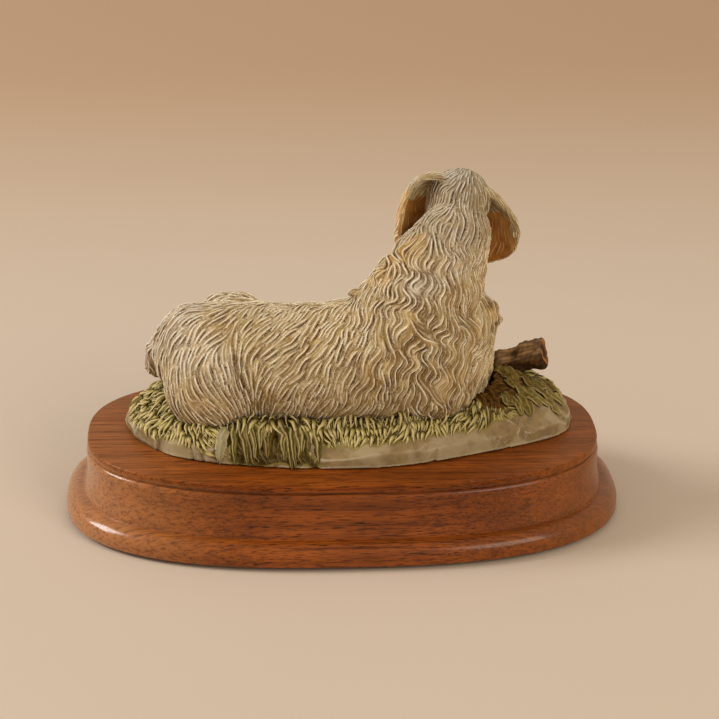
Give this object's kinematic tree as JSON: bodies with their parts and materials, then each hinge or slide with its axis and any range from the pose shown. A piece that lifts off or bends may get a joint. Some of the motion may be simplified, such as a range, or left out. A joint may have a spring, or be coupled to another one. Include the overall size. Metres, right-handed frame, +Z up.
{
  "type": "dog figurine",
  "caption": "Long-haired dog in painted cast resin, lying on a grassy ground by a short log, on an oval moulded wooden plinth with a felt underside.",
  "frame": {"origin": "centre of the plinth's outline, on the surface that the felt underside rests on", "axes": "+Z up; +X along the plinth from the dog's rump to its shoulders; +Y the side that the dog turns its head and forelegs to"},
  "size_m": [0.1854, 0.1074, 0.1133],
  "materials": {
    "plinth_wood": "mahogany stain under satin lacquer",
    "felt": "green felt",
    "screw_steel": "zinc plated",
    "coat_paint": "cast resin, cream dry-brushed over an ochre wash",
    "grass_paint": "cast resin, olive green over grey stone colour",
    "bark_paint": "cast resin, dark brown wash"
  },
  "bodies": {
    "root": {"felt_pad": "felt", "wood_plinth": "plinth_wood", "screw_rear": "screw_steel", "screw_front": "screw_steel", "ground_casting": "grass_paint", "log": "bark_paint", "body_casting": "coat_paint", "head_casting": "coat_paint", "left_ear": "coat_paint", "right_ear": "coat_paint", "tail": "coat_paint", "left_foreleg": "coat_paint", "right_foreleg": "coat_paint", "left_hind_foot": "coat_paint", "right_hind_foot": "coat_paint"}
  },
  "joints": []
}
